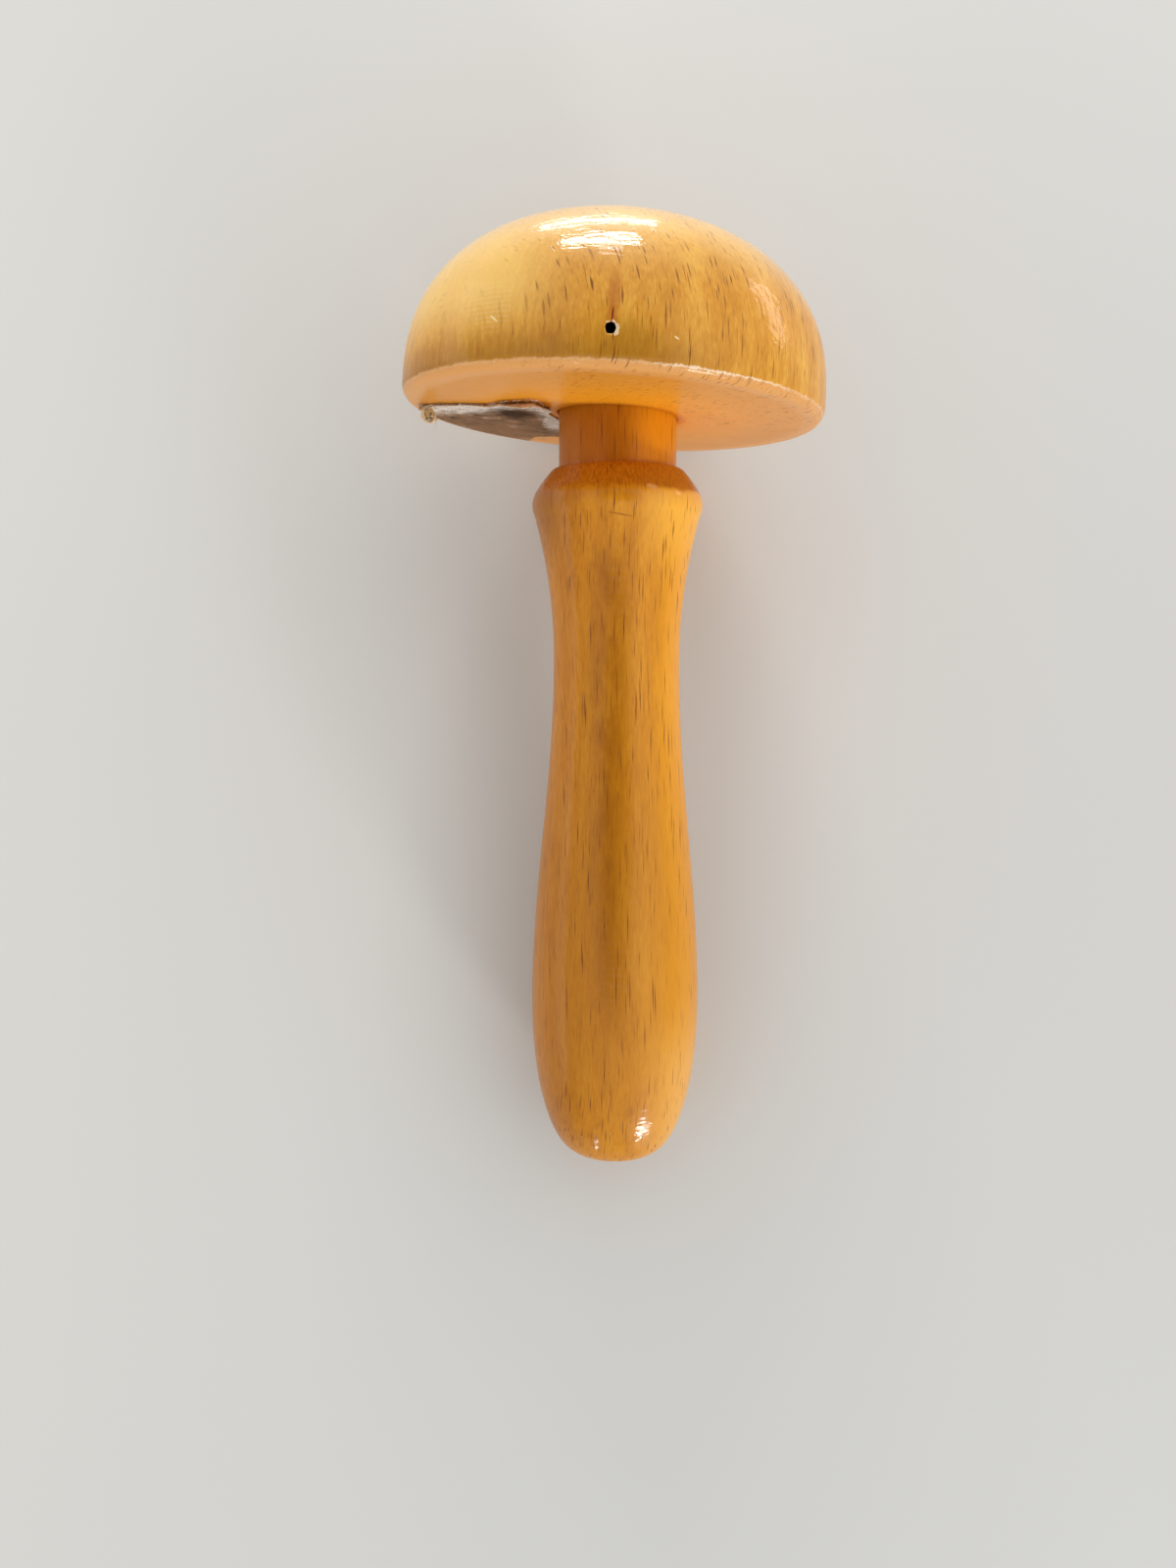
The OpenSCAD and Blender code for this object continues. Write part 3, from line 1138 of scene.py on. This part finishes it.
        # Bare wood where the varnish chipped, with a painted highlight on the hole's upper right.
        gold = add(tree, "VectorMath", {0: hole, 1: (0.5, 0.0, 0.4)}, "Value", operation="DOT_PRODUCT")
        gold = stain(tree, "#E6A238", "#F4D8AC", Fade(gold, -0.5, 0.1, straight=True))
        # Painted shade: near black inside the worm hole.
        inside = zone(tree, Fade(y, -38.12, -37.7), Fade(off_hole, 1.5, 1.3, straight=True), near)

        marks = {
            # Partly a dark stain and partly painted shade above the rim, weaker on the right.
            "band": ("#96600A", Fade(z, -1.5, 6.0, 0.66, 0.0, ragged, -4.5), Fade(x, 4.0, 20.0, 1.0, 0.1)),
            # Painted shade low on the dome's front.
            "painted olive shade": ("#9A6404", Fade(olive, 0.5, 1.2, 0.4, 0.0, ragged, 0.6), near),
            "rust": (
                "#B05806",
                Fade(rust, 0.7, 2.4, 0.75, 0.0, ragged, 1.6),
                Fade(z, self.hole_h - 0.4, self.hole_h + 1.2, straight=True),
                Fade(z, 17.0, 10.0),
                near,
            ),
            # Partly end grain and partly painted light on the upper side and the left.
            "crown": ("#F9D27C", crown, Fade(y, 14.0, -4.0, 0.15, 1.0)),
            "lathe arcs": ("#F6D89C", arcs, patch),
            "nick and speck": ("#F8DCA0", nick),
            "underside": (under, Fade(z, 1.05, 0.55, 0.0, 1.0, ragged, -0.9), 0.88),
            # Painted highlight along the rim's right.
            "painted rim highlight": (
                "#FBE4C4",
                Fade(rubs_and_painted_highlight, 0.03, 0.24, 0.9, 0.0),
                Fade(x, 2.0, 12.0, 0.15, 1.0),
                Fade(x, 21.0, 30.0, 1.0, 0.3),
            ),
            "chips": (gold, Fade(chipped, 1.94, 2.08, 0.85, 0.0), near),
            "split": ("#7A2A06", wood.mark(tree, place, (-1.25, -38.2, 7.9), (0.16, 1.5, 1.3), 4.0, 0.5)),
            # Painted shade inside the worm hole.
            "inside": ("#1C0A03", inside),
        }
        colour = parts["colour"]
        for tint, *factors in marks.values():
            colour = stain(tree, colour, tint, *factors)
        worn = zone(tree, Fade(z, 0.2, 1.2, 0.22, 0.4, straight=True))
        coat = add(tree, "Math", {0: worn, 1: zone(tree, Fade(z, 12.0, 24.0, 0.0, 0.45))}, operation="ADD")
        coat = add(tree, "Math", {0: inside, 1: -1.0, 2: coat}, operation="MULTIPLY_ADD")
        coat = add(tree, "Math", {0: coat, 1: 0.0}, operation="MAXIMUM")
        wood.finish(tree, parts, colour, coat)
        return material

    def build(self) -> None:
        """Builds the head, which stands for the CAD node of that name."""
        piece = self.build_mesh()
        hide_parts("head")
        dress(piece, self.build_material(), Body.HEAD)


@dataclass(frozen=True)
class LooseFibre:
    """Wood-pulp fibres pulled out of torn paper: to the eye, matt fine hairs, cleaner and dirtier in patches.

    Attributes:
        name: The material's name.
        light: The colour of the cleanest fibres.
        dark: The colour of the most soiled ones.
    """

    name: str
    light: str
    dark: str

    def build(self) -> Material:
        """Builds the fibres' material, in which clean and soiled fibres lie in small patches."""
        material, tree = new_material(self.name)
        patch = clouds(tree, HEAD_FRAME.coordinates(tree), (0.6, 0.6, 0.6), 2.0)
        colour = add(tree, "ValToRGB", {"Fac": patch}, stops=[(0.35, self.dark), (0.6, self.light)])
        hair = {"Base Color": colour, "Roughness": 0.85, "Specular IOR Level": 0.3, "IOR": 1.45}
        add(tree, "OutputMaterial", {"Surface": add(tree, "BsdfPrincipled", hair)})
        return material


@dataclass(frozen=True)
class Tuft:
    """A run of fibres along one of the paper's edges.

    Attributes:
        name: The piece's name.
        count: How many fibres there are.
        run: The shares of the edge between which they start.
        reach_mm: The shortest and the longest fibre.
        push: The mean direction in the head's frame.
        spread: How far the directions stray from it.
        radius_mm: A fibre's radius at its root.
        seed: The seed of the random draws.
    """

    name: str
    count: int
    run: tuple[float, float]
    reach_mm: tuple[float, float]
    push: Triple
    spread: float
    radius_mm: float
    seed: int

    def build_mesh(self, edge: np.ndarray) -> Piece:
        """Builds the fibres as thin bent cones in one mesh.

        A fibre's path is its root plus its direction times the length, plus a sideways bend times the square
        of the way along it. Three points run round the path at each of seven steps, and their radius shrinks
        to a fifth.

        Args:
            edge: The edge's knots, as share, x, y and z.

        Returns:
            The fibres.
        """
        draw = np.random.default_rng(self.seed)
        share = draw.uniform(*self.run, self.count)
        root = follow(share, edge) + draw.normal(0, 0.12, (self.count, 3)) * np.array([1, 1, 0.4])
        way = np.array(self.push) + draw.normal(0, self.spread, (self.count, 3))
        way[:, 2] = -np.abs(way[:, 2])
        way /= np.linalg.norm(way, axis=1, keepdims=True)
        length = draw.uniform(*self.reach_mm, (self.count, 1))
        side = np.cross(way, draw.normal(0, 1, (self.count, 3)))
        side /= np.linalg.norm(side, axis=1, keepdims=True)
        other = np.cross(way, side)
        bend = side * draw.normal(0, 0.45, (self.count, 1)) * length
        steps = np.linspace(0, 1, 7)
        path = root[:, None] + (way * length)[:, None] * steps[:, None] + bend[:, None] * steps[:, None] ** 2
        turn = np.arange(3) * FULL_TURN / 3
        round_it = np.cos(turn)[:, None] * side[:, None, None] + np.sin(turn)[:, None] * other[:, None, None]
        thin = (self.radius_mm * (1 - 0.8 * steps))[:, None, None]
        points = path[:, :, None] + round_it * thin
        index = numbers(points)
        ahead = np.roll(index, -1, axis=2)
        sides = join(index[:, :-1], ahead[:, :-1], ahead[:, 1:], index[:, 1:]).reshape(-1, 4)
        faces = sides.tolist() + index[:, 0, ::-1].tolist() + index[:, -1].tolist()
        return build_object(self.name, HEAD_FRAME.to_row(points), faces)


@dataclass
class TornLabel:
    """The remains of a paper label on the underside: the sheet with its lifted torn edge, and loose fibres.

    Attributes:
        near_edge: Knots of the near edge on the underside, as share, x and y.
        far_edge: Knots of the far edge, as share, x and y.
        lip_knots: Height of the lifted lip in millimetres against the share along the near edge.
        lip_widths: Width of the lifted lip in millimetres against the same share.
        thickness: The paper's thickness.
        curl_x: The middle of the rolled scrap at the sheet's left end.
        curl_z: How low its middle hangs.
        curl_y: How far the scrap reaches from front to back.
    """

    near_edge: tuple[Triple, ...] = (
        (0.00, -35.6, -0.5), (0.06, -34.7, -0.6), (0.16, -31.3, -2.6), (0.28, -25.7, -4.3),
        (0.35, -22.1, -5.4), (0.39, -19.9, -8.6), (0.46, -16.5, -10.9), (0.51, -13.9, -12.1),
        (0.55, -12.5, -9.3), (0.60, -11.0, -4.8), (0.66, -11.75, 0.0), (0.74, -9.6, 6.8),
        (0.84, -2.8, 11.5), (0.91, -3.2, 14.0), (1.00, -6.0, 23.0),
    )
    far_edge: tuple[Triple, ...] = (
        (0.00, -35.6, 0.4), (0.10, -35.3, 6.4), (0.20, -33.4, 13.1), (0.32, -30.0, 19.6),
        (0.44, -25.3, 25.4), (0.56, -19.6, 30.0), (0.62, -17.0, 31.5), (0.72, -15.6, 26.0),
        (0.86, -10.2, 24.0), (1.00, -6.0, 23.2),
    )
    lip_knots: tuple[tuple[float, float], ...] = (
        (0.00, 1.2), (0.05, 1.4), (0.12, 0.6), (0.28, 0.45),
        (0.37, 0.7), (0.42, 1.2), (0.50, 1.4), (0.56, 1.1),
        (0.60, 0.5), (0.68, 0.12), (1.00, 0.1),
    )
    lip_widths: tuple[tuple[float, float], ...] = (
        (0.00, 1.6), (0.36, 2.2), (0.42, 5.5), (0.56, 5.0),
        (0.62, 1.6), (1.00, 1.2),
    )
    thickness: float = 0.2
    curl_x: float = -33.3
    curl_z: float = -1.9
    curl_y: tuple[float, float] = (-1.2, 1.4)

    def curl_path(self, share: np.ndarray) -> np.ndarray:
        """Works out the curl's path in x and z: a spiral, taller than wide, that tightens inwards."""
        turn = np.radians(70 + 520 * share)
        radius = 1.55 - 1.15 * share
        return join(self.curl_x + radius * np.cos(turn), self.curl_z + 1.2 * radius * np.sin(turn))

    def build_curl(self, paper: Material) -> None:
        """Builds the rolled scrap at the sheet's left end.

        It is a strip of paper along curl_path, carried from the front to the back. Its radius varies a
        little, and the inner side is the path drawn in by a thickness, with both sides joined into a loop.

        Args:
            paper: Its material.
        """
        rows, steps = 16, 70
        back = np.linspace(0, 1, rows)[:, None]
        share = np.linspace(0, 1, steps)[None, :] * (1 - 0.1 * (1 + wobble(back * 5, 41, 6, 0.3)))
        path = self.curl_path(share)
        middle = np.array([self.curl_x, self.curl_z])
        out = path - middle
        squeeze = 1 - 0.18 * back[..., None] + 0.05 * wobble(share * 6 + back * 2, 42, 6)[..., None]
        outer = middle + out * squeeze
        drawn_in = self.thickness / np.linalg.norm(out, axis=-1, keepdims=True)
        inner = middle + out * (squeeze - np.minimum(drawn_in, 0.5))
        front_tear, back_tear = wobble(share * 6, 43, 20, 0.3), wobble(share * 6, 44, 14, 0.3)
        ragged = 0.25 * front_tear * (1 - back) + 0.2 * back_tear * back
        deep = self.curl_y[0] + (self.curl_y[1] - self.curl_y[0]) * back + ragged
        loop = np.concatenate([outer, inner[:, ::-1]], 1)
        away = np.concatenate([deep, deep[:, ::-1]], 1)
        points = join(loop[..., 0], away, loop[..., 1])
        margin = np.minimum(back, 1 - back) * (self.curl_y[1] - self.curl_y[0]) / MM_TO_A_CM
        piece = build_shell("label_curl", points, join(margin, away))
        dress(piece, paper, Body.HEAD)

    def build_fibres(self) -> None:
        """Builds the white fuzz along the tear and the tan fibres at its frayed left end, off the rim."""
        near = join(*np.array(self.near_edge).T, -0.25)
        share = np.linspace(0, 1, 24)
        curl = self.curl_path(share)
        front = join(share, curl[:, 0], self.curl_y[0], curl[:, 1])
        curl = self.curl_path(np.array([0.2, 0.52]))
        low = curl[:, 1].min() + 0.1
        foot = np.array([(0.0, curl[0, 0], self.curl_y[0], low), (1.0, curl[1, 0], self.curl_y[1], low)])
        white = LooseFibre("white_paper_fibre", "#EFE6DA", "#B8A48E").build()
        tan = LooseFibre("tan_paper_fibre", "#FBE0A8", "#D0A05C").build()
        for edge, material, *tuft in (
            (near, white, "label_fuzz", 260, (0.02, 0.57), (0.25, 0.9), (0.1, -0.7, -0.5), 0.5, 0.035, 31),
            (front, tan, "label_curl_front", 190, (0.1, 1), (0.25, 0.8), (-0.5, -0.6, -0.4), 0.6, 0.05, 32),
            (foot, tan, "label_curl_foot", 110, (0, 1), (0.3, 1.0), (-0.5, -0.3, -0.8), 0.5, 0.045, 33),
            (foot, white, "label_hanging_hairs", 8, (0.2, 1), (1.6, 3.0), (0.5, -0.2, -1.0), 0.4, 0.028, 34),
        ):
            dress(Tuft(*tuft).build_mesh(edge), material, Body.HEAD)

    def build_sheet(self) -> Piece:
        """Builds the sheet as a closed shell.

        Across the sheet a point is a share of the way from the near edge to the far one. Its height off the
        wood is the lip's height times the square of what is left of the lip's width, and the outer side lies
        a thickness further off. The two sides are joined at the edges, and the whole is a loop carried along
        the near edge.

        Returns:
            The sheet, with a UV map of the distance from the near edge in centimetres and the place along it.
        """
        along = np.linspace(0, 1, 420)
        near, far = follow(along, np.array(self.near_edge)), follow(along, np.array(self.far_edge))
        lip = follow(along, np.array(self.lip_knots)) * (1 + 0.35 * wobble(along * 5, 21, 14, 0.3))[:, None]
        across = far - near
        width = np.linalg.norm(across, axis=1)
        tear = 0.22 * wobble(along * 6.2, 4, 40, 0.25) * np.minimum(1, width / 3)
        share = np.concatenate([np.linspace(0, 0.12, 13), np.linspace(0.12, 1, 34)[1:]])
        start = near + across * (tear / np.maximum(width, 0.1))[:, None]
        flat = start[:, None] + (far - start)[:, None] * share[:, None]
        deep = share * width[:, None]
        lifted = lip * np.clip(1 - deep / follow(along, np.array(self.lip_widths)), 0, 1) ** 2
        crumple = 0.05 * (1 + wobble(flat[..., 0] * 0.9 + flat[..., 1] * 0.35, 13, 12, 0.4))
        inner = join(flat[..., 0], flat[..., 1], -(lifted + 0.02))
        far_off = (1 - share) * width[:, None]
        thick = self.thickness * np.clip(deep / 0.6, 0.25, 1) * np.clip(far_off / 0.6, 0.2, 1)
        outer = join(flat[..., 0], flat[..., 1], -(lifted + 0.02 + thick + crumple))
        loops = np.concatenate([outer, inner[:, ::-1]], 1)
        depth_cm = np.concatenate([deep, -deep[:, ::-1] - self.thickness], 1) / MM_TO_A_CM
        return build_shell("torn_label_sheet", loops, join(depth_cm, along[:, None]))

    def build(self) -> None:
        """Builds the paper, which stands for the CAD node of that name."""
        paper = TornPaper().build()
        sheet = self.build_sheet()
        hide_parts("torn_label")
        dress(sheet, paper, Body.HEAD)
        # The rolled scrap gets a lighter copy of the paper: painted light on the curl, which lies in shade.
        rolled = TornPaper("torn_rolled_paper_painted_light", "#FFF0CC", "#F0CE92", "#CE9E5A", "#F6D79C")
        self.build_curl(rolled.build())
        self.build_fibres()


@dataclass(frozen=True)
class SoftLight:
    """A rectangular studio light.

    Attributes:
        name: The light's name.
        place_mm: Where its middle is.
        aim_mm: The point that it faces.
        size_mm: Its width and height.
        radiance: Its brightness, where 1 is as bright as white paper in the studio.
        colour: The light's hex colour.
    """

    name: str
    place_mm: Triple
    aim_mm: Triple
    size_mm: tuple[float, float]
    radiance: float
    colour: str = "#FFFFFF"

    def hang(self) -> None:
        """Hangs the light: its power is its radiance times its area times pi."""
        light = bpy.data.lights.new(self.name, "AREA")
        light.shape = "RECTANGLE"
        light.size, light.size_y = self.size_mm[0] * MM, self.size_mm[1] * MM
        light.energy = self.radiance * math.pi * light.size * light.size_y
        light.color = linear(self.colour)[:3]
        lamp = bpy.data.objects.new(self.name, light)
        lamp.location = Vector(self.place_mm) * MM
        way = Vector(self.aim_mm) - Vector(self.place_mm)
        lamp.rotation_euler = way.to_track_quat("-Z", "Y").to_euler()
        bpy.context.scene.collection.objects.link(lamp)


DOME_TOP_MM = (-2.0, 66.0, 73.0)
TAIL_TOP_MM = (6.0, -80.0, 25.0)

# The far windows, the low strip and the two cards make the dome's streaks, and the others the tail's glints
LIGHTS = (
    SoftLight("far_window", (-60.0, 1050.0, 230.0), DOME_TOP_MM, (400.0, 140.0), 27.0),
    SoftLight("far_window_top", (-10.0, 1050.0, 410.0), DOME_TOP_MM, (150.0, 150.0), 8.0),
    SoftLight("low_strip", (-12.0, 262.0, 14.0), DOME_TOP_MM, (104.0, 24.0), 9.0),
    SoftLight("near_window", (430.0, -780.0, 170.0), TAIL_TOP_MM, (150.0, 110.0), 56.0),
    SoftLight("near_window_low", (560.0, -820.0, 60.0), TAIL_TOP_MM, (50.0, 70.0), 36.0),
    SoftLight("left_pane", (-300.0, -900.0, 50.0), (-6.0, -80.0, 25.0), (34.0, 56.0), 100.0),
    SoftLight("left_card", (-300.0, 40.0, 62.0), (0.0, 40.0, 50.0), (600.0, 90.0), 1.6, "#FFF0D8"),
    SoftLight("right_card", (300.0, 240.0, 45.0), (25.0, 58.0, 67.0), (160.0, 60.0), 6.0, "#FFEBDD"),
)


@dataclass
class Studio:
    """The pale floor, the soft lights and the camera.

    Attributes:
        floor_mm: Half the floor's width.
        camera_mm: The camera's place.
        camera_turn: The camera's turn about x, y and z in degrees.
        lens: The focal length for a 36 mm long side.
    """

    floor_mm: float = 1500.0
    camera_mm: Triple = (-4.637, -29.039, 249.424)
    camera_turn: Triple = (3.7273, -0.0479, 0.1418)
    lens: float = 27.045

    def build_floor(self) -> None:
        """Lays a plain pale floor."""
        half = self.floor_mm * MM
        corners = np.array([[-half, -half, 0], [half, -half, 0], [half, half, 0], [-half, half, 0]])
        floor = build_object("floor", corners, [[0, 1, 2, 3]])
        material, tree = new_material("matt_studio_floor")
        matt = {"Base Color": "#D2D2CF", "Roughness": 0.9, "Specular IOR Level": 0.15}
        add(tree, "OutputMaterial", {"Surface": add(tree, "BsdfPrincipled", matt)})
        floor.data.materials.append(material)

    def build_air(self) -> None:
        """Fills the room with even light that is dark straight overhead, where the photographer stood."""
        world = bpy.data.worlds.new("studio_air")
        world.use_nodes = True
        tree = world.node_tree
        tree.nodes.clear()
        way = add(tree, "TexCoord", out="Generated")
        up = add(tree, "SeparateXYZ", {"Vector": way}, "Z")
        stops = [(0.0, "#909090"), (0.5, "#E6E6E6"), (0.85, "#FFFFFF"), (0.96, "#606060")]
        glow = add(tree, "ValToRGB", {"Fac": up}, stops=stops)
        side = add(tree, "VectorMath", {0: way, 1: (0.36, 0.1, 0.0)}, "Value", operation="DOT_PRODUCT")
        side = add(tree, "Math", {0: side, 1: 1.14}, operation="ADD")
        add(tree, "OutputWorld", {"Surface": add(tree, "Background", {"Color": glow, "Strength": side})})
        bpy.context.scene.world = world

    def build_camera(self) -> None:
        """Sets up the camera at the photograph's angle."""
        data = bpy.data.cameras.new("camera")
        data.lens = self.lens
        data.sensor_width = 36.0
        data.clip_start, data.clip_end = 0.005, 20.0
        camera = bpy.data.objects.new("camera", data)
        camera.location = Vector(self.camera_mm) * MM
        camera.rotation_euler = [math.radians(turn) for turn in self.camera_turn]
        bpy.context.scene.collection.objects.link(camera)
        bpy.context.scene.camera = camera

    def build(self) -> None:
        """Builds the floor, the room's light, the lights and the camera."""
        self.build_floor()
        self.build_air()
        self.build_camera()
        for light in LIGHTS:
            light.hang()
        bpy.context.scene.view_settings.view_transform = "Standard"


def main() -> None:
    """Loads the frame and builds each sub-assembly in order."""
    logging.basicConfig(level=logging.INFO, format="%(name)s: %(message)s")
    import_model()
    Studio().build()
    Handle().build()
    Head().build()
    TornLabel().build()


if __name__ == "__main__":
    main()
